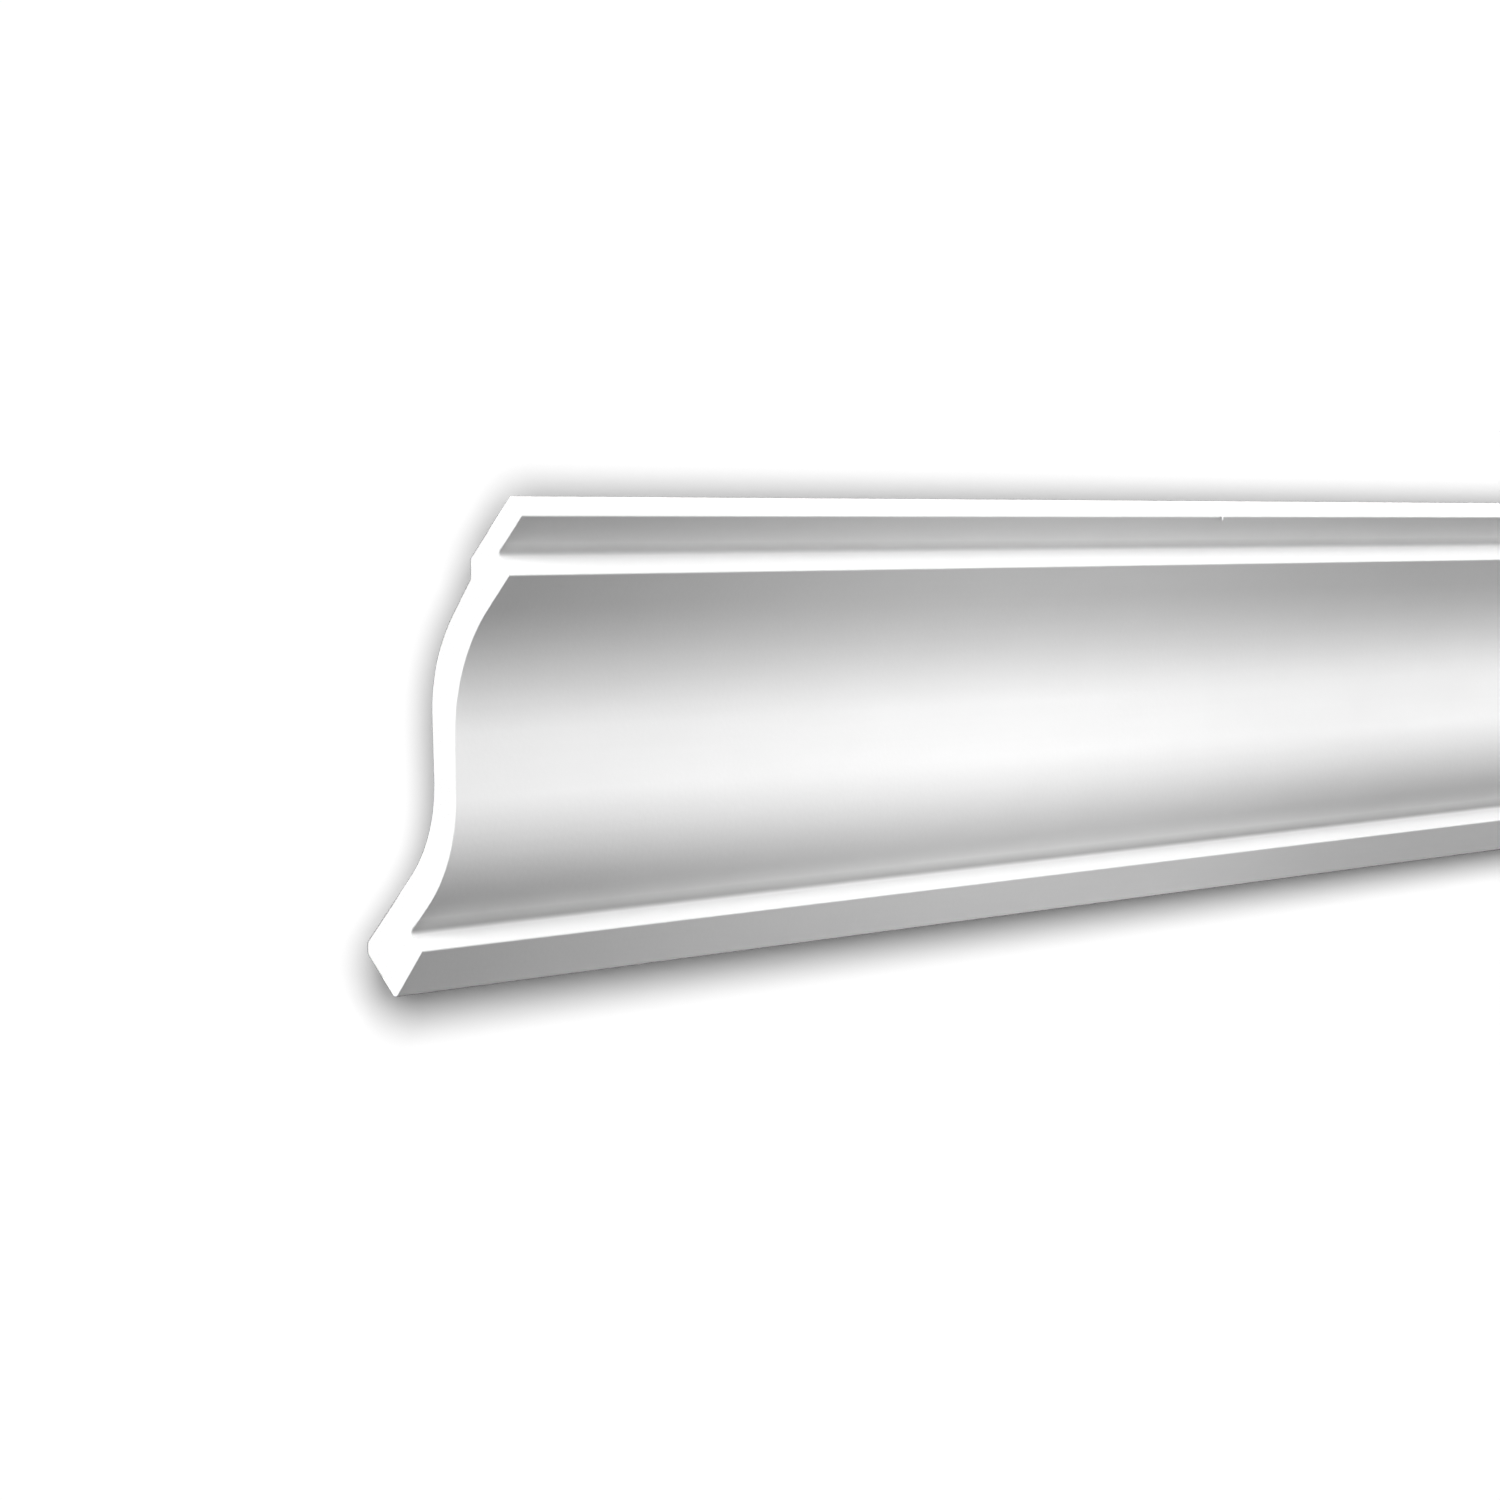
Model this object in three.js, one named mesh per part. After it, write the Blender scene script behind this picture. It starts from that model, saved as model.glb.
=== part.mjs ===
import * as THREE from 'three';

// A length of crown moulding, cut square at both ends, in the place that it has in a room.
// Millimetres, +Z up. +X runs along the length. The wall is the plane y = 0, and the moulding
// stands out from it towards -Y. The origin is the middle of the face that is glued to the wall.
//
// The section is drawn with two measures: "out" is the distance from the wall into the room,
// and "up" is the height above the lowest edge of the foot.

// Driving dimensions of the whole length
const LENGTH = 1000;
const PROJECTION = 145; // from the wall to the edge of the lip, along the ceiling
const DROP = 65.6; // from the ceiling to the lowest edge of the foot, down the wall

// The lip is the upright band under the ceiling. Its soffit steps back to a narrow fillet.
const LIP_HEIGHT = 7.7;
const LIP_LEAN = 0.8;
const LIP_SOFFIT = 14.9;
const UPPER_FILLET_HEIGHT = 7.8;
const UPPER_FILLET_LEAN = 1.1;
const CEILING_FACE = 25.4;

// The foot is the thick edge on the wall. Its underside rises a little towards the room.
const FOOT_DEPTH = 20;
const FOOT_HEIGHT = 20.5;
const FOOT_RISE = 1.6;
const LOWER_FILLET_TOP = 9;
const FOOT_BACK_CHAMFER = 2.6;

// The ogee between the two fillets: a hollow cove on the ceiling's side, a round belly on the
// wall's side and a straight slope where they meet. The back follows it, one skin behind.
const OGEE_MIDDLE = new THREE.Vector2(72, 29.8);
const OGEE_SLOPE = 44;
const OGEE_COVE_RADIUS = 53;
const OGEE_BELLY_RADIUS = 46.5;
const SKIN = 10;
const BACK_SLOPE = 45.5;
const BACK_UPPER_RADIUS = 46.5;
const BACK_LOWER_RADIUS = 40.5;

// The back of the lip rises gently from the ogee and turns up to the ceiling at 45 degrees
const WEB_SLOPE = 6.5;
const WEB_THICKNESS = 10.5;
const WEB_MIDDLE_OUT = 107;
const CEILING_CHAMFER_SLOPE = 45;

// Rounding of the small corners
const ARRIS_RADIUS = 0.6;
const RECESS_RADIUS = 1.8;
const FOOT_TIP_RADIUS = 1.6;
const BACK_CORNER_RADIUS = 2.5;

// Arcs are cut into chords that stay this close to them
const ARC_TOLERANCE = 0.02;

// Height of the wall face's middle above the lowest edge of the foot
const WALL_FACE_MIDDLE = 9.3;

// A straight line through a point at an angle from level
function lineThrough(point, degrees) {
  const angle = THREE.MathUtils.degToRad(degrees);
  return { point, direction: new THREE.Vector2(Math.cos(angle), Math.sin(angle)) };
}

function levelLine(up) {
  return lineThrough(new THREE.Vector2(0, up), 0);
}

function meetingPoint(first, second) {
  const between = second.point.clone().sub(first.point);
  const along = between.cross(second.direction) / first.direction.cross(second.direction);
  return first.direction.clone().multiplyScalar(along).add(first.point);
}

function corner(point, radius) {
  return { point, radius };
}

// The lip and the fillet under it, from the ogee up to the ceiling
function lipCorners() {
  const soffitUp = DROP - LIP_HEIGHT;
  const lipBottomOut = PROJECTION - LIP_LEAN;
  const recessOut = lipBottomOut - LIP_SOFFIT;
  const filletBottomOut = recessOut - UPPER_FILLET_LEAN;
  return [
    corner(new THREE.Vector2(filletBottomOut, soffitUp - UPPER_FILLET_HEIGHT), ARRIS_RADIUS),
    corner(new THREE.Vector2(recessOut, soffitUp), RECESS_RADIUS),
    corner(new THREE.Vector2(lipBottomOut, soffitUp), ARRIS_RADIUS),
    corner(new THREE.Vector2(PROJECTION, DROP), ARRIS_RADIUS),
  ];
}

// The front of the foot, from the wall to the ogee
function footFrontCorners() {
  return [
    corner(new THREE.Vector2(0, 0), FOOT_TIP_RADIUS),
    corner(new THREE.Vector2(FOOT_DEPTH, FOOT_RISE), ARRIS_RADIUS),
    corner(new THREE.Vector2(FOOT_DEPTH, LOWER_FILLET_TOP), RECESS_RADIUS),
  ];
}

// The front of the ogee, level where it leaves each fillet
function ogeeCorners() {
  const slope = lineThrough(OGEE_MIDDLE, OGEE_SLOPE);
  const lowerEnd = levelLine(LOWER_FILLET_TOP);
  const upperEnd = levelLine(DROP - LIP_HEIGHT - UPPER_FILLET_HEIGHT);
  return [
    corner(meetingPoint(slope, lowerEnd), OGEE_BELLY_RADIUS),
    corner(meetingPoint(slope, upperEnd), OGEE_COVE_RADIUS),
  ];
}

// The hidden side, from the ceiling down the back of the ogee to the top of the foot
function backCorners() {
  const slopeDirection = lineThrough(OGEE_MIDDLE, OGEE_SLOPE).direction;
  const inwards = new THREE.Vector2(-slopeDirection.y, slopeDirection.x);
  const skinBack = inwards.multiplyScalar(SKIN).add(OGEE_MIDDLE);
  const backSlope = lineThrough(skinBack, BACK_SLOPE);
  const webUp = DROP - LIP_HEIGHT - UPPER_FILLET_HEIGHT + WEB_THICKNESS;
  const web = lineThrough(new THREE.Vector2(WEB_MIDDLE_OUT, webUp), WEB_SLOPE);
  const ceilingEdge = new THREE.Vector2(PROJECTION - CEILING_FACE, DROP);
  const chamfer = lineThrough(ceilingEdge, CEILING_CHAMFER_SLOPE);
  return [
    corner(ceilingEdge, ARRIS_RADIUS),
    corner(meetingPoint(web, chamfer), BACK_CORNER_RADIUS),
    corner(meetingPoint(web, backSlope), BACK_UPPER_RADIUS),
    corner(meetingPoint(backSlope, levelLine(FOOT_HEIGHT)), BACK_LOWER_RADIUS),
    corner(new THREE.Vector2(FOOT_BACK_CHAMFER, FOOT_HEIGHT), BACK_CORNER_RADIUS),
    corner(new THREE.Vector2(0, FOOT_HEIGHT - FOOT_BACK_CHAMFER), BACK_CORNER_RADIUS),
  ];
}

// The chords of the arc that rounds one corner of the outline
function roundedCorner(before, { point, radius }, after) {
  const toBefore = before.clone().sub(point).normalize();
  const toAfter = after.clone().sub(point).normalize();
  const halfAngle = Math.acos(toBefore.dot(toAfter)) / 2;
  const centre = toBefore.clone().add(toAfter);
  centre.setLength(radius / Math.sin(halfAngle)).add(point);
  const start = toBefore.clone().setLength(radius / Math.tan(halfAngle)).add(point);
  const turn = Math.PI - 2 * halfAngle;
  const largestStep = 2 * Math.acos(1 - ARC_TOLERANCE / radius);
  const steps = Math.ceil(turn / largestStep);
  const stepTurn = (Math.sign(toAfter.cross(toBefore)) * turn) / steps;
  return Array.from({ length: steps + 1 }, (_, i) => start.clone().rotateAround(centre, i * stepTurn));
}

function roundedOutline(corners) {
  const count = corners.length;
  return corners.flatMap((each, i) => {
    const before = corners[(i + count - 1) % count].point;
    const after = corners[(i + 1) % count].point;
    return roundedCorner(before, each, after);
  });
}

// The whole length: the section drawn out along X, in one piece
function crownMoulding() {
  const corners = [...footFrontCorners(), ...ogeeCorners(), ...lipCorners(), ...backCorners()];
  const section = new THREE.Shape(roundedOutline(corners));
  const geometry = new THREE.ExtrudeGeometry(section, { depth: LENGTH, bevelEnabled: false });
  const primedFoam = new THREE.MeshStandardMaterial({ color: 0xf2f2f0, roughness: 0.6, metalness: 0 });
  const mesh = new THREE.Mesh(geometry, primedFoam);
  mesh.name = 'crown_moulding';

  // Out from the wall is -Y, up is +Z, and the section is drawn out towards -X
  const outward = new THREE.Vector3(0, -1, 0);
  const upward = new THREE.Vector3(0, 0, 1);
  const along = new THREE.Vector3(-1, 0, 0);
  mesh.setRotationFromMatrix(new THREE.Matrix4().makeBasis(outward, upward, along));
  mesh.position.set(LENGTH / 2, 0, -WALL_FACE_MIDDLE);
  return mesh;
}

const mouldingLength = new THREE.Group();
mouldingLength.add(crownMoulding());

export default mouldingLength;
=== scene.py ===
import math

import bpy
import numpy as np
from mathutils import Matrix, Vector


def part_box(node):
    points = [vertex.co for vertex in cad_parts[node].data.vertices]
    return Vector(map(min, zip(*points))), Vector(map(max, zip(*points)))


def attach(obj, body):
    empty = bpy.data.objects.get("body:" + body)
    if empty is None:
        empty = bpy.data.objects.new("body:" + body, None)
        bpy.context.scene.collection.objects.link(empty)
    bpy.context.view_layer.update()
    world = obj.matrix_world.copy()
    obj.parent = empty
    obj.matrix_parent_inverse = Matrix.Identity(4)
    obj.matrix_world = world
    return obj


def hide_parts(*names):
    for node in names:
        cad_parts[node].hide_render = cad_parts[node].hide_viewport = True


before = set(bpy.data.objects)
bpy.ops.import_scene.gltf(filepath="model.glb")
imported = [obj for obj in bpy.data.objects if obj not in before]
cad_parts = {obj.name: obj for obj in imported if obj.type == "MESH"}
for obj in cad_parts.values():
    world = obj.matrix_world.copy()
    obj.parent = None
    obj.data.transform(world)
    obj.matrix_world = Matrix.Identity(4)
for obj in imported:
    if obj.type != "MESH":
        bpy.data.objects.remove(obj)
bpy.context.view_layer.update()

# One length of crown moulding, in metres, in the place that it has in a room: +X along the length,
# the wall at y = 0 with the moulding on its -Y side, and +Z up to the ceiling.
# The section is drawn in millimetres: "out" from the wall, and "up" from the lowest edge of the foot.
NODE = "crown_moulding"
MM = 0.001

# Section of the moulding, the same sizes as the solid's
PROJECTION = 145.0
DROP = 65.6
WALL_FACE_MIDDLE = 9.3
LIP_HEIGHT = 7.7
LIP_LEAN = 0.8
LIP_SOFFIT = 14.9
UPPER_FILLET_HEIGHT = 7.8
UPPER_FILLET_LEAN = 1.1
CEILING_FACE = 25.4
FOOT_DEPTH = 20.0
FOOT_HEIGHT = 20.5
FOOT_RISE = 1.6
LOWER_FILLET_TOP = 9.0
FOOT_BACK_CHAMFER = 2.6
OGEE_MIDDLE = (72.0, 29.8)
OGEE_SLOPE = 44.0
OGEE_COVE_RADIUS = 53.0
OGEE_BELLY_RADIUS = 46.5
SKIN = 10.0
BACK_SLOPE = 45.5
BACK_UPPER_RADIUS = 46.5
BACK_LOWER_RADIUS = 40.5
WEB_SLOPE = 6.5
WEB_THICKNESS = 10.5
WEB_MIDDLE_OUT = 107.0
CEILING_CHAMFER_SLOPE = 45.0
ARRIS_RADIUS = 0.6
RECESS_RADIUS = 1.8
FOOT_TIP_RADIUS = 1.6
BACK_CORNER_RADIUS = 2.5

# Heights and depths that follow from them
SOFFIT_UP = DROP - LIP_HEIGHT
OGEE_TOP = SOFFIT_UP - UPPER_FILLET_HEIGHT
LIP_BOTTOM_OUT = PROJECTION - LIP_LEAN
RECESS_OUT = LIP_BOTTOM_OUT - LIP_SOFFIT

# Fineness of the visible mesh
CHORD_ANGLE = math.radians(2.5)
SMALL_ARC_STEPS = 8
STRAIGHT_STEP = 3.0
STATION_STEP = 8.0

# The sawn ends: a worn edge, and the denser skin that shows round the foam
END_EDGE_RADIUS = 0.15
END_EDGE_STEPS = 3
SKIN_RIM = 0.4

# A drip of primer hangs from the lip's lower edge at this pixel column of the photograph. It reaches this
# far to each side and down, in millimetres
DRIP_PIXEL_X = 1223.0
DRIP_REACH = 0.8
DRIP_LENGTH = 2.2
DRIP_STEPS = 14

# The finishes, in the order of the moulding's material slots, and their colours
PRIMER, BACK, RIM, FOAM = range(4)
PRIMER_COLOUR = (0.87, 0.87, 0.87)
BACK_COLOUR = (0.80, 0.795, 0.775)
RIM_COLOUR = (0.89, 0.89, 0.89)
FOAM_COLOUR = (0.90, 0.90, 0.90)
FOAM_ROUGHNESS = 0.85

# Painted shade in three bands along the length: in the crease on the ogee beside the lower fillet, in the
# crease on the soffit beside the upper fillet, and faintly on the foot's front, to dim the light there. For
# each: how far up and how far out the painted shade begins and is full, and how strong it is
PAINTED_SHADE_BANDS = (
    ((LOWER_FILLET_TOP - 1.2, LOWER_FILLET_TOP - 0.1), (FOOT_DEPTH + 6.0, FOOT_DEPTH + 0.6), 0.52),
    ((SOFFIT_UP - 1.2, SOFFIT_UP - 0.1), (RECESS_OUT + 4.0, RECESS_OUT + 0.5), 0.33),
    ((LOWER_FILLET_TOP - 0.4, LOWER_FILLET_TOP - 1.6), (FOOT_DEPTH - 0.7, FOOT_DEPTH - 0.2), 0.07),
)

# Nearly all of a noise texture lies between these two values
NOISE_LOW, NOISE_HIGH = 0.3, 0.7

# The photograph: its side and focal length in pixels, the vanishing point of the moulding's length, and
# the pixel where the near end's foot would meet the wall in a sharp corner
PHOTO_SIZE = 1500.0
FOCAL_PIXELS = 3300.0
VANISHING_POINT = (3960.5, 520.4)
FOOT_PIXEL = (395.45, 999.24)

# The camera: how far it stands from the plane of the near end, in metres, how far the section is turned
# round the length in its view, and the width of its sensor in millimetres
END_PLANE_DISTANCE = 0.62945
SECTION_TURN = math.radians(46.35)
SENSOR_WIDTH = 36.0

# Soft studio lights: name, degrees round the photo's upright, degrees up the photo, and strength
SOFT_LIGHT_ANGLE = math.radians(30)
SOFT_LIGHTS = (
    ("top_front", 0, 60, 1.3),
    ("top_right", 30, 40, 1.84),
    ("far_right", 60, 0, 0.9),
    ("end_left", -90, 20, 3.7),
    ("back_top", 180, 40, 1.4),
    ("back_low", 180, -50, 1.5),
    ("back_right", 125, 0, 1.2),
)

# Small fills near the piece: name, place along X, degrees round and up the photo, distance, size and power
NEAR_FILLS = (
    ("fill_near_end", -0.3, 0, -35, 0.3, 0.2, 0.226),
    ("fill_far_end", 0.15, 0, -35, 0.3, 0.2, 0.214),
    ("fill_front", -0.25, 0, -15, 0.2, 0.12, 0.034),
    ("fill_below", -0.17, 45, -65, 0.2, 0.12, 0.035),
)

# The far sheet behind the piece, in metres and in the camera's own right and up
SHEET_DISTANCE = 4.0
SHEET_MIDDLE = (0.186, 0.006)
SHEET_SIZE = (1.49, 0.76)

# The small lamp that throws the piece's shadow on the sheet. It stands just before the camera, and its
# offset is to the camera's right, up and backwards
HALO_LAMP_SIZE = (0.024, 0.029)
HALO_LAMP_OFFSET = (-0.0042, 0.0042, -0.045)
HALO_LAMP_POWER = 100.0

# A pale floor a room's height below the moulding. It turns white between these distances from the middle
FLOOR_HEIGHT = -2.4
FLOOR_RADIUS = 60.0
FLOOR_SIDES = 96
FLOOR_COLOUR = (0.8, 0.8, 0.8, 1)
FLOOR_ROUGHNESS = 0.9
FLOOR_FADE = (8.0, 44.0)
FLOOR_LIGHT = 2.7

# White behind everything, just over full so that it stays even
WHITE = (1, 1, 1, 1)
BACKGROUND_STRENGTH = 1.03


def line_through(point, degrees):
    """A straight line as a point on it and its direction, at an angle from level."""
    angle = math.radians(degrees)
    return np.array(point, float), np.array([math.cos(angle), math.sin(angle)])


def cross(first, second):
    return first[0] * second[1] - first[1] * second[0]


def meeting_point(first, second):
    between = second[0] - first[0]
    along = cross(between, second[1]) / cross(first[1], second[1])
    return first[0] + first[1] * along


def front_corners():
    """The sharp corners of the front with the radius that rounds each, from the wall up to the ceiling."""
    slope = line_through(OGEE_MIDDLE, OGEE_SLOPE)
    return [
        ((0, 0), FOOT_TIP_RADIUS),
        ((FOOT_DEPTH, FOOT_RISE), ARRIS_RADIUS),
        ((FOOT_DEPTH, LOWER_FILLET_TOP), RECESS_RADIUS),
        (meeting_point(slope, line_through((0, LOWER_FILLET_TOP), 0)), OGEE_BELLY_RADIUS),
        (meeting_point(slope, line_through((0, OGEE_TOP), 0)), OGEE_COVE_RADIUS),
        ((RECESS_OUT - UPPER_FILLET_LEAN, OGEE_TOP), ARRIS_RADIUS),
        ((RECESS_OUT, SOFFIT_UP), RECESS_RADIUS),
        ((LIP_BOTTOM_OUT, SOFFIT_UP), ARRIS_RADIUS),
        ((PROJECTION, DROP), ARRIS_RADIUS),
    ]


def back_corners():
    """The same for the hidden side, from the ceiling down to the top of the foot."""
    middle, direction = line_through(OGEE_MIDDLE, OGEE_SLOPE)
    inwards = np.array([-direction[1], direction[0]])
    back_slope = line_through(middle + inwards * SKIN, BACK_SLOPE)
    web = line_through((WEB_MIDDLE_OUT, OGEE_TOP + WEB_THICKNESS), WEB_SLOPE)
    ceiling_edge = (PROJECTION - CEILING_FACE, DROP)
    chamfer = line_through(ceiling_edge, CEILING_CHAMFER_SLOPE)
    foot_top = line_through((0, FOOT_HEIGHT), 0)
    return [
        (ceiling_edge, ARRIS_RADIUS),
        (meeting_point(web, chamfer), BACK_CORNER_RADIUS),
        (meeting_point(web, back_slope), BACK_UPPER_RADIUS),
        (meeting_point(back_slope, foot_top), BACK_LOWER_RADIUS),
        ((FOOT_BACK_CHAMFER, FOOT_HEIGHT), BACK_CORNER_RADIUS),
        ((0, FOOT_HEIGHT - FOOT_BACK_CHAMFER), BACK_CORNER_RADIUS),
    ]


def rounded_corner(before, point, radius, after):
    """Points and outward normals along the arc that rounds one corner of an anticlockwise outline."""
    to_before = (before - point) / np.linalg.norm(before - point)
    to_after = (after - point) / np.linalg.norm(after - point)
    half = math.acos(np.clip(to_before @ to_after, -1, 1)) / 2
    middle = to_before + to_after
    centre = point + middle / np.linalg.norm(middle) * radius / math.sin(half)
    start = point + to_before * radius / math.tan(half) - centre
    turn = (math.pi - 2 * half) * np.sign(cross(to_after, to_before))
    steps = max(SMALL_ARC_STEPS, math.ceil(abs(turn) / CHORD_ANGLE))
    arc = []
    for i in range(steps + 1):
        angle = turn * i / steps
        spoke_out = start[0] * math.cos(angle) - start[1] * math.sin(angle)
        spoke_up = start[0] * math.sin(angle) + start[1] * math.cos(angle)
        spoke = np.array([spoke_out, spoke_up])
        arc.append((centre + spoke, np.sign(turn) * spoke / radius))
    return arc


def section_outline():
    """Points, outward normals and finishes along the rounded section, each for the step that follows it."""
    front = front_corners()
    corners = [(np.array(point, float), radius) for point, radius in front + back_corners()]
    count = len(corners)
    arcs = []
    for i, (point, radius) in enumerate(corners):
        before = corners[i - 1][0]
        after = corners[(i + 1) % count][0]
        arcs.append(rounded_corner(before, point, radius, after))
    outline = []
    for i, arc in enumerate(arcs):
        arc_finish = PRIMER if i < len(front) else BACK
        # The flat that follows the front's last corner is the ceiling face, which belongs to the back
        straight_finish = PRIMER if i < len(front) - 1 else BACK
        outline += [(point, normal, arc_finish) for point, normal in arc[:-1]]
        end, normal = arc[-1]
        following = arcs[(i + 1) % count][0][0]
        steps = max(1, math.ceil(np.linalg.norm(following - end) / STRAIGHT_STEP))
        for k in range(steps):
            outline.append((end + (following - end) * k / steps, normal, straight_finish))
    points, normals, finishes = zip(*outline)
    return np.array(points), np.array(normals), list(finishes)


def in_room(out, up):
    """Where a place in the section lies across the length: its y and z in metres."""
    return -out * MM, (up - WALL_FACE_MIDDLE) * MM


def ring(x, points, normals, end=0.0, lean=0.0):
    """One ring of vertices round the section, and their normals, which lean turns to face the end."""
    y, z = in_room(points[:, 0], points[:, 1])
    vertices = np.stack([np.full(len(points), x), y, z], axis=1)
    sideways = math.cos(lean)
    facing = np.stack([
        np.full(len(points), end * math.sin(lean)),
        -normals[:, 0] * sideways,
        normals[:, 1] * sideways,
    ], axis=1)
    return vertices, facing


def end_rings(x, end, points, normals):
    """Rings from the rounded edge of one sawn end inwards to the foam, for end -1 or 1."""
    rings = []
    for k in range(1, END_EDGE_STEPS + 1):
        lean = math.pi / 2 * k / END_EDGE_STEPS
        inset = END_EDGE_RADIUS * (1 - math.cos(lean))
        place = x - end * END_EDGE_RADIUS * (1 - math.sin(lean)) * MM
        rings.append(ring(place, points - normals * inset, normals, end, lean))
    rings.append(ring(x, points - normals * SKIN_RIM, normals, end, math.pi / 2))
    return rings


def drip_place(camera_at, axes):
    """How far along the length the lip's lower edge shows at the drip's pixel column, and how far the drip
    leans along the length as it hangs, so that it stays in that column."""
    edge_y, edge_z = in_room(LIP_BOTTOM_OUT, SOFFIT_UP)
    column = (DRIP_PIXEL_X - PHOTO_SIZE / 2) / FOCAL_PIXELS
    # All that the column shows is in one plane through the camera, and this is the plane's normal
    plane = axes.col[0] + column * axes.col[2]
    across = (edge_y - camera_at.y) * plane.y + (edge_z - camera_at.z) * plane.z
    return camera_at.x - across / plane.x, plane.z / plane.x


def stations(low, high, drip_x):
    """Places of the rings along the length: even steps, and fine ones round the drip of primer."""
    even = np.linspace(low, high, round((high - low) / (STATION_STEP * MM)) + 1)
    reach = DRIP_REACH * MM
    fine = np.linspace(drip_x - reach, drip_x + reach, DRIP_STEPS + 1)
    clearance = STATION_STEP * MM / 4
    apart = even[np.abs(even - drip_x) > reach + clearance]
    return np.sort(np.concatenate([apart, fine]))


def hang_drip(vertices, drip_x, lean):
    """Pulls the lip's lower edge down into a drip of primer."""
    edge_y, edge_z = in_room(LIP_BOTTOM_OUT, SOFFIT_UP)
    along = np.clip(np.abs(vertices[:, 0] - drip_x) / (DRIP_REACH * MM), 0, 1)
    away = np.hypot(vertices[:, 1] - edge_y, vertices[:, 2] - edge_z) / (ARRIS_RADIUS * MM)
    # At its nearest, the rounded edge is about this many of its radii from the sharp corner
    nearest = math.sqrt(2) - 1
    near = np.clip((1 - away) / (1 - nearest), 0, 1)
    swell = np.cos(along * math.pi / 2) ** 2 * near
    vertices[:, 0] += swell * DRIP_LENGTH * MM * lean
    vertices[:, 2] -= swell * DRIP_LENGTH * MM


def skin_faces(ring_count, finishes):
    """Faces from ring to ring and over both ends, and the finish of each."""
    count = len(finishes)
    faces = []
    slots = []
    for step in range(ring_count - 1):
        here, there = step * count, (step + 1) * count
        at_rim = step in (0, ring_count - 2)
        for i in range(count):
            j = (i + 1) % count
            faces.append((here + i, there + i, there + j, here + j))
            slots.append(RIM if at_rim else finishes[i])
    last = (ring_count - 1) * count
    faces.append(tuple(range(count)))
    faces.append(tuple(last + i for i in reversed(range(count))))
    slots += [FOAM, FOAM]
    return faces, slots


def make_moulding(camera_at, axes):
    """The whole length as one mesh, with each face given the slot number of its finish."""
    low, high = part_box(NODE)
    points, normals, finishes = section_outline()
    drip_x, drip_lean = drip_place(camera_at, axes)
    edge = END_EDGE_RADIUS * MM
    rings = [ring(x, points, normals) for x in stations(low.x + edge, high.x - edge, drip_x)]
    rings = end_rings(low.x, -1, points, normals)[::-1] + rings + end_rings(high.x, 1, points, normals)
    vertices, facing = (np.concatenate(each) for each in zip(*rings))
    hang_drip(vertices, drip_x, drip_lean)
    # The finer arcs bulge a few thousandths of a millimetre past the solid's chords, which is taken off
    vertices[:, 1:] = np.clip(vertices[:, 1:], low[1:], high[1:])
    faces, slots = skin_faces(len(rings), finishes)
    mesh = bpy.data.meshes.new("moulding")
    mesh.from_pydata(vertices.tolist(), [], faces)
    mesh.polygons.foreach_set("material_index", slots)
    mesh.shade_smooth()
    mesh.normals_split_custom_set_from_vertices(facing.tolist())
    mesh.update()
    piece = bpy.data.objects.new("moulding", mesh)
    bpy.context.scene.collection.objects.link(piece)
    return piece


def feed(tree, value, socket):
    """Sets an input to a value, or links it to the output that is given in place of one."""
    if isinstance(value, bpy.types.NodeSocket):
        tree.links.new(value, socket)
    else:
        socket.default_value = value


def add_node(tree, kind, **inputs):
    """A new node with values for its inputs, whose names have _ for a space."""
    node = tree.nodes.new(kind)
    for name, value in inputs.items():
        feed(tree, value, node.inputs[name.replace("_", " ")])
    return node


def blend_range(tree, value, low, high, start=0.0, end=1.0):
    """Low at start and high at end, even between them and steady beyond them."""
    limits = {"From_Min": start, "From_Max": end, "To_Min": low, "To_Max": high}
    return add_node(tree, "ShaderNodeMapRange", Value=value, **limits).outputs[0]


def noise(tree, place, size, detail=3.0, stretch=(1, 1, 1)):
    """Noise from 0 to 1 with grains of the given size in millimetres, drawn out by stretch."""
    scale = [1 / (MM * size * each) for each in stretch]
    stretched = add_node(tree, "ShaderNodeMapping", Vector=place, Scale=scale).outputs[0]
    return add_node(tree, "ShaderNodeTexNoise", Vector=stretched, Scale=1.0, Detail=detail).outputs[0]


def vary(tree, place, size, low, high, stretch=(1, 1, 1)):
    """A value that wanders between low and high over the surface."""
    return blend_range(tree, noise(tree, place, size, stretch=stretch), low, high, NOISE_LOW, NOISE_HIGH)


def cell_distance(tree, place, size):
    """The distance from the middle of each cell, for cells of the given size in millimetres."""
    return add_node(tree, "ShaderNodeTexVoronoi", Vector=place, Scale=1 / (size * MM)).outputs["Distance"]


def combine(tree, operation, first, second):
    """Two values multiplied or subtracted, by the name of the operation."""
    node = tree.nodes.new("ShaderNodeMath")
    node.operation = operation
    feed(tree, first, node.inputs[0])
    feed(tree, second, node.inputs[1])
    return node.outputs[0]


def tinted(tree, colour, brightness):
    """The colour times a brightness that varies over the surface."""
    node = tree.nodes.new("ShaderNodeVectorMath")
    node.operation = "SCALE"
    node.inputs[0].default_value = colour
    tree.links.new(brightness, node.inputs["Scale"])
    return node.outputs[0]


def bump(tree, height, depth, before=None):
    """A bump whose full height is depth millimetres, laid over an earlier one."""
    node = add_node(tree, "ShaderNodeBump", Height=height, Distance=depth * MM, Strength=1.0)
    if before is not None:
        tree.links.new(before, node.inputs["Normal"])
    return node.outputs[0]


def mix_shaders(tree, share, first, second):
    """The first node's shader where the share is 0, and the second's where it is 1."""
    node = tree.nodes.new("ShaderNodeMixShader")
    tree.links.new(share, node.inputs[0])
    tree.links.new(first.outputs[0], node.inputs[1])
    tree.links.new(second.outputs[0], node.inputs[2])
    return node.outputs[0]


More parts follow.
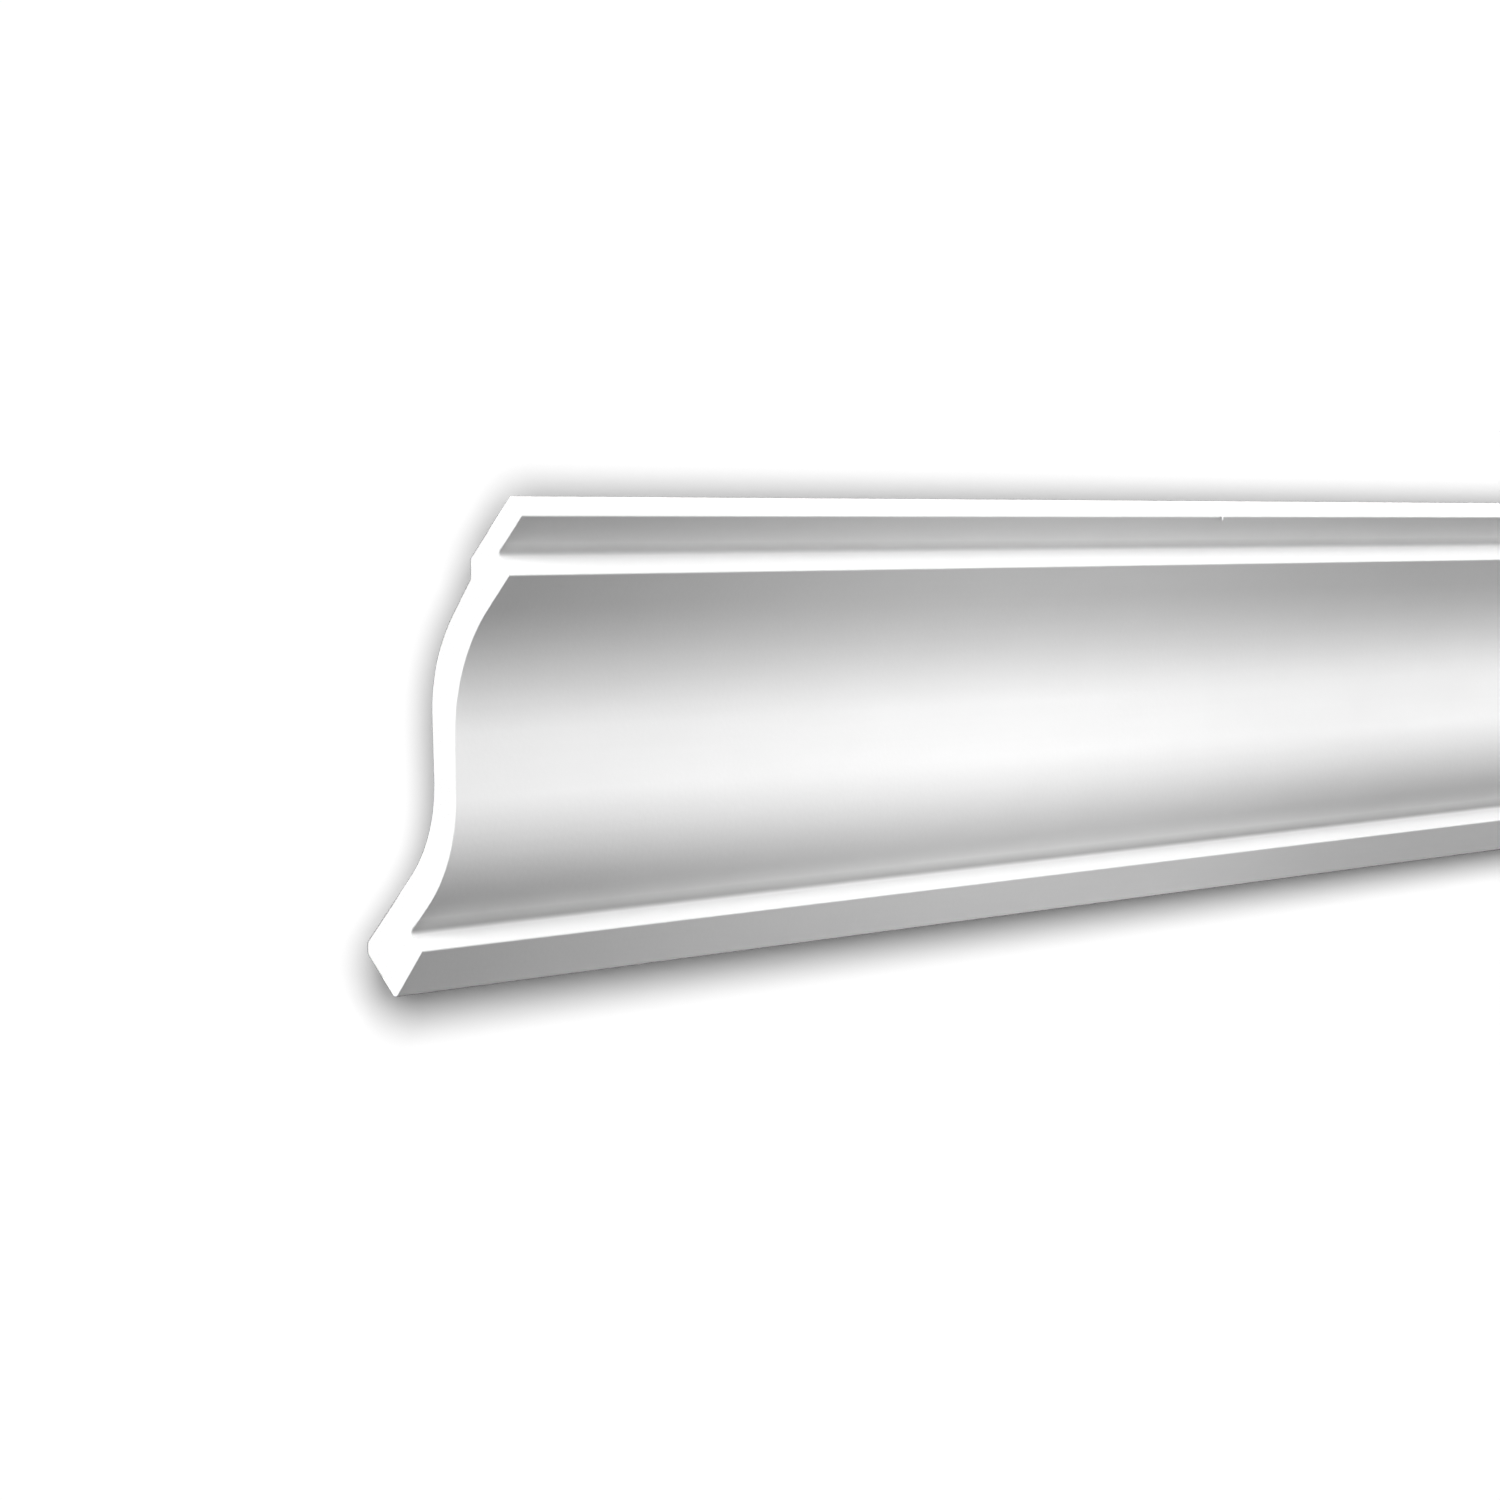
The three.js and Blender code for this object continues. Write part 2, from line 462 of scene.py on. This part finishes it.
def new_material(name):
    """A material with its node tree, its shader and the place on the piece in metres."""
    material = bpy.data.materials.new(name)
    material.use_nodes = True
    tree = material.node_tree
    place = tree.nodes.new("ShaderNodeTexCoord").outputs["Object"]
    return material, tree, tree.nodes["Principled BSDF"], place


def painted_shade_band(tree, place, up, out, strength):
    """How much brightness is left in one band of painted shade on the front, by the place in the section.
    """
    axes = add_node(tree, "ShaderNodeSeparateXYZ", Vector=place)
    begins_y, begins_z = in_room(out[0], up[0])
    full_y, full_z = in_room(out[1], up[1])
    by_height = blend_range(tree, axes.outputs["Z"], 0.0, strength, begins_z, full_z)
    by_depth = blend_range(tree, axes.outputs["Y"], 0.0, 1.0, begins_y, full_y)
    return combine(tree, "SUBTRACT", 1.0, combine(tree, "MULTIPLY", by_height, by_depth))


def primer_material(name, colour):
    """Sprayed white primer: a satin coat with fine stipple, faint streaks along the length, and the bands
    of painted shade in the creases and on the foot's front."""
    material, tree, shader, place = new_material(name)
    streaks = vary(tree, place, size=2.5, low=0.996, high=1.004, stretch=(60, 1, 1))
    clouds = vary(tree, place, size=22, low=0.994, high=1.006)
    brightness = combine(tree, "MULTIPLY", streaks, clouds)
    # Painted shade: each band darkens the primer's colour in a crease where shade falls, or faintly on the
    # foot's front
    for band in PAINTED_SHADE_BANDS:
        brightness = combine(tree, "MULTIPLY", brightness, painted_shade_band(tree, place, *band))
    tree.links.new(tinted(tree, colour, brightness), shader.inputs["Base Color"])
    gloss = vary(tree, place, size=6, low=0.52, high=0.64, stretch=(8, 1, 1))
    tree.links.new(gloss, shader.inputs["Roughness"])
    peel = bump(tree, noise(tree, place, size=1.6, detail=1.0), depth=0.03)
    stipple = bump(tree, noise(tree, place, size=0.35), depth=0.012, before=peel)
    tree.links.new(stipple, shader.inputs["Normal"])
    return material


def back_material():
    """The side that is glued on: bare moulded skin with flow marks and a few pinholes, with painted shade
    inside them.
    """
    material, tree, shader, place = new_material("moulded_back")
    flow = vary(tree, place, size=30, low=0.965, high=1.02, stretch=(4, 1, 1))
    mottle = vary(tree, place, size=4, low=0.98, high=1.015)
    pinholes = blend_range(tree, cell_distance(tree, place, size=9), 0.0, 1.0, start=0.03, end=0.055)
    # Painted shade: the colour is darker inside each pinhole
    pinhole_shade = blend_range(tree, pinholes, low=0.8, high=1.0)
    brightness = combine(tree, "MULTIPLY", combine(tree, "MULTIPLY", flow, mottle), pinhole_shade)
    tree.links.new(tinted(tree, BACK_COLOUR, brightness), shader.inputs["Base Color"])
    rough = vary(tree, place, size=8, low=0.62, high=0.78)
    tree.links.new(rough, shader.inputs["Roughness"])
    waves = bump(tree, noise(tree, place, size=12, detail=2.0), depth=0.12)
    grain = bump(tree, noise(tree, place, size=0.7), depth=0.03, before=waves)
    tree.links.new(bump(tree, pinholes, depth=0.25, before=grain), shader.inputs["Normal"])
    return material


def foam_material():
    """The sawn end: fine cut cells with painted shade in their pits, and faint marks of the saw's teeth."""
    material, tree, shader, place = new_material("cut_foam")
    cups = blend_range(tree, cell_distance(tree, place, size=0.45), 0.0, 1.0, start=0.0, end=0.6)
    # Painted shade: each cell is darker towards the bottom of its pit
    shade = blend_range(tree, cups, low=0.95, high=1.01)
    patches = vary(tree, place, size=7, low=0.985, high=1.01)
    brightness = combine(tree, "MULTIPLY", shade, patches)
    tree.links.new(tinted(tree, FOAM_COLOUR, brightness), shader.inputs["Base Color"])
    shader.inputs["Roughness"].default_value = FOAM_ROUGHNESS
    marks = bump(tree, noise(tree, place, size=1.1, detail=2.0, stretch=(1, 1, 40)), depth=0.03)
    tree.links.new(bump(tree, cups, depth=0.08, before=marks), shader.inputs["Normal"])
    return material


def camera_axes():
    """Columns: the photo's right, up and backwards, in the part's frame."""
    centre = PHOTO_SIZE / 2
    along = Vector((VANISHING_POINT[0] - centre, VANISHING_POINT[1] - centre, FOCAL_PIXELS)).normalized()
    rising = Vector((0, -along.z, along.y)).normalized()
    towards = along.cross(rising)
    turn_cos, turn_sin = math.cos(SECTION_TURN), math.sin(SECTION_TURN)
    out = towards * turn_cos + rising * turn_sin
    up = rising * turn_cos - towards * turn_sin
    # Rows are the part's axes in camera terms, with x to the right, y down and z forwards
    part = Matrix((along, -out, up))
    return part @ Matrix(((1, 0, 0), (0, -1, 0), (0, 0, -1)))


def make_camera():
    """The camera of the photograph, with its axes in the part's frame."""
    low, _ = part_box(NODE)
    axes = camera_axes()
    data = bpy.data.cameras.new("camera")
    data.sensor_width = SENSOR_WIDTH
    data.lens = SENSOR_WIDTH * FOCAL_PIXELS / PHOTO_SIZE
    camera = bpy.data.objects.new("camera", data)
    bpy.context.scene.collection.objects.link(camera)
    ray = axes @ Vector((FOOT_PIXEL[0] - PHOTO_SIZE / 2, PHOTO_SIZE / 2 - FOOT_PIXEL[1], -FOCAL_PIXELS))
    corner = Vector((low.x, *in_room(0, 0)))
    camera.location = corner - ray * (END_PLANE_DISTANCE / ray.x)
    camera.rotation_mode = "QUATERNION"
    camera.rotation_quaternion = axes.to_quaternion()
    bpy.context.scene.camera = camera
    return camera, axes


def photo_direction(azimuth, elevation):
    """A direction by degrees round the photo's upright, from the viewer's side of the moulding towards its
    far end, and by degrees up the photo."""
    around, rise = math.radians(azimuth), math.radians(elevation)
    out = Vector((0, -1, 0))
    up = Vector((0, 0, 1))
    towards = out * math.cos(SECTION_TURN) - up * math.sin(SECTION_TURN)
    upright = out * math.sin(SECTION_TURN) + up * math.cos(SECTION_TURN)
    level = Vector((math.sin(around), 0, 0)) + towards * math.cos(around)
    return level * math.cos(rise) + upright * math.sin(rise)


def lit_group(name, thing):
    """A collection that lets a light fall on this thing alone."""
    group = bpy.data.collections.new(name)
    group.objects.link(thing)
    return group


def place_light(data, location, backwards, lit):
    """A light with its back in the given direction, which falls only on the things in lit."""
    light = bpy.data.objects.new(data.name, data)
    bpy.context.scene.collection.objects.link(light)
    light.location = location
    light.rotation_mode = "QUATERNION"
    light.rotation_quaternion = backwards.to_track_quat("Z", "Y")
    light.visible_camera = False
    light.light_linking.receiver_collection = lit
    return light


def place_sun(name, strength, backwards, lit):
    """One of the soft lights that come from far away."""
    data = bpy.data.lights.new(name, "SUN")
    data.energy = strength
    data.angle = SOFT_LIGHT_ANGLE
    place_light(data, backwards, backwards, lit)


def make_lights(moulding):
    """The studio lights, which light the moulding and nothing else."""
    lit = lit_group("lit_by_studio", moulding)
    for name, azimuth, elevation, strength in SOFT_LIGHTS:
        place_sun(name, strength, photo_direction(azimuth, elevation), lit)
    for name, x, azimuth, elevation, distance, size, power in NEAR_FILLS:
        data = bpy.data.lights.new(name, "AREA")
        data.shape = "DISK"
        data.size = size
        data.energy = power
        backwards = photo_direction(azimuth, elevation)
        target = Vector((x, *in_room(*OGEE_MIDDLE)))
        place_light(data, target + backwards * distance, backwards, lit)


def make_halo(camera_at, axes):
    """A far sheet that shows nothing but the piece's own soft shadow, and the lamp that throws it."""
    corners = []
    for right, up in ((-1, -1), (1, -1), (1, 1), (-1, 1)):
        sheet_right = SHEET_MIDDLE[0] + right * SHEET_SIZE[0] / 2
        sheet_up = SHEET_MIDDLE[1] + up * SHEET_SIZE[1] / 2
        corners.append(camera_at + axes @ Vector((sheet_right, sheet_up, -SHEET_DISTANCE)))
    mesh = bpy.data.meshes.new("backdrop")
    mesh.from_pydata(corners, [], [(0, 1, 2, 3)])
    sheet = bpy.data.objects.new("backdrop", mesh)
    bpy.context.scene.collection.objects.link(sheet)
    sheet.is_shadow_catcher = True
    sheet.visible_diffuse = False
    sheet.visible_glossy = False
    data = bpy.data.lights.new("halo_lamp", "AREA")
    data.shape = "ELLIPSE"
    data.size, data.size_y = HALO_LAMP_SIZE
    data.energy = HALO_LAMP_POWER
    lit = lit_group("lit_by_halo_lamp", sheet)
    lamp = place_light(data, camera_at + axes @ Vector(HALO_LAMP_OFFSET), axes.col[2], lit)
    # The lamp's height is measured up the photo
    lamp.rotation_quaternion = axes.to_quaternion()


def floor_material():
    """Pale grey that fades to the background's white far away."""
    material, tree, shader, place = new_material("pale_floor")
    distance = tree.nodes.new("ShaderNodeVectorMath")
    distance.operation = "LENGTH"
    tree.links.new(place, distance.inputs[0])
    far = blend_range(tree, distance.outputs["Value"], 0.0, 1.0, *FLOOR_FADE)
    shader.inputs["Base Color"].default_value = FLOOR_COLOUR
    shader.inputs["Roughness"].default_value = FLOOR_ROUGHNESS
    glow = add_node(tree, "ShaderNodeEmission", Color=WHITE)
    faded = mix_shaders(tree, far, shader, glow)
    tree.links.new(faded, tree.nodes["Material Output"].inputs["Surface"])
    return material


def make_floor():
    """A pale floor a room's height below, with a light of its own."""
    bpy.ops.mesh.primitive_circle_add(
        vertices=FLOOR_SIDES, radius=FLOOR_RADIUS, fill_type="NGON", location=(0, 0, FLOOR_HEIGHT)
    )
    floor = bpy.context.object
    floor.name = "floor"
    # The floor neither lights the piece nor keeps the lights below it from the piece
    floor.visible_diffuse = False
    floor.visible_glossy = False
    floor.visible_shadow = False
    floor.data.materials.append(floor_material())
    place_sun("floor_light", FLOOR_LIGHT, Vector((0, 0, 1)), lit_group("lit_by_floor_light", floor))


def make_world():
    """White wherever the camera sees past everything. The world itself lights nothing."""
    world = bpy.data.worlds.new("studio")
    world.use_nodes = True
    tree = world.node_tree
    dark = tree.nodes["Background"]
    dark.inputs["Strength"].default_value = 0.0
    white = add_node(tree, "ShaderNodeBackground", Color=WHITE, Strength=BACKGROUND_STRENGTH)
    seen = tree.nodes.new("ShaderNodeLightPath").outputs["Is Camera Ray"]
    tree.links.new(mix_shaders(tree, seen, dark, white), tree.nodes["World Output"].inputs["Surface"])
    bpy.context.scene.world = world


camera, view_axes = make_camera()
moulding = make_moulding(camera.location, view_axes)
for material in (
    primer_material("white_primer", PRIMER_COLOUR),
    back_material(),
    primer_material("dense_skin", RIM_COLOUR),
    foam_material(),
):
    moulding.data.materials.append(material)
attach(moulding, "root")
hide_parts(NODE)
make_floor()
make_lights(moulding)
make_halo(camera.location, view_axes)
make_world()
bpy.context.scene.view_settings.view_transform = "Standard"
